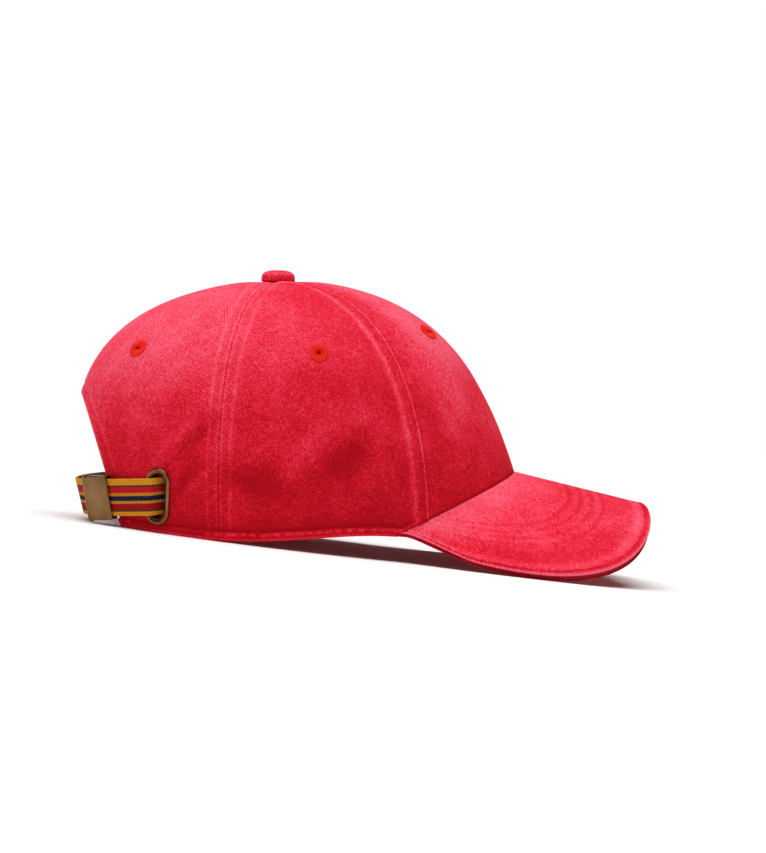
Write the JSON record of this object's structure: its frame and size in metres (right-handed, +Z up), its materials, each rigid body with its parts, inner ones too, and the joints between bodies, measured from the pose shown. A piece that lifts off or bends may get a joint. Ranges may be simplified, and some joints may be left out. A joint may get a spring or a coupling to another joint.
{
  "type": "baseball cap",
  "caption": "Soft cloth cap with a curved visor, covered top button, sewn eyelets, a webbing strap at the back, a flip clasp and an oval grommet.",
  "frame": {"origin": "centre of the cap's box in plan, on the surface that it rests on", "axes": "+X forwards along the visor, +Y to the wearer's left, +Z up"},
  "size_m": [0.2864, 0.1702, 0.1342],
  "materials": {
    "twill": "washed cotton twill, brushed, worn pale along seams and edges",
    "band": "plain cotton band with a rolled lower edge",
    "edge_strip": "plain cotton edge strip",
    "thread": "satin embroidery thread",
    "webbing": "ribbed cotton webbing striped lengthwise in mustard, red, black and navy",
    "brass": "antique brass, tarnished"
  },
  "bodies": {
    "cap": {"crown_front_left": "twill", "crown_front_right": "twill", "crown_side_left": "twill", "crown_side_right": "twill", "crown_back_left": "twill", "crown_back_right": "twill", "eyelet_front_left": "thread", "eyelet_front_right": "thread", "eyelet_side_left": "thread", "eyelet_side_right": "thread", "eyelet_back_left": "thread", "eyelet_back_right": "thread", "top_button": "twill", "sweatband": "band", "visor_top": "twill", "visor_sandwich": "edge_strip", "visor_under": "twill", "strap": "webbing", "strap_grommet": "brass", "clasp_frame": "brass", "clasp_pin": "brass", "clasp_tab": "twill"},
    "lever": {"clasp_lever": "brass"}
  },
  "joints": [
    {"name": "clasp_lever_flip", "type": "hinge", "parent": "cap", "child": "lever", "pos_m": [-0.13346, -0.03403, 0.0116], "axis": [0.2815, 0.0873, -0.9556], "range_deg": [0, 95]}
  ]
}
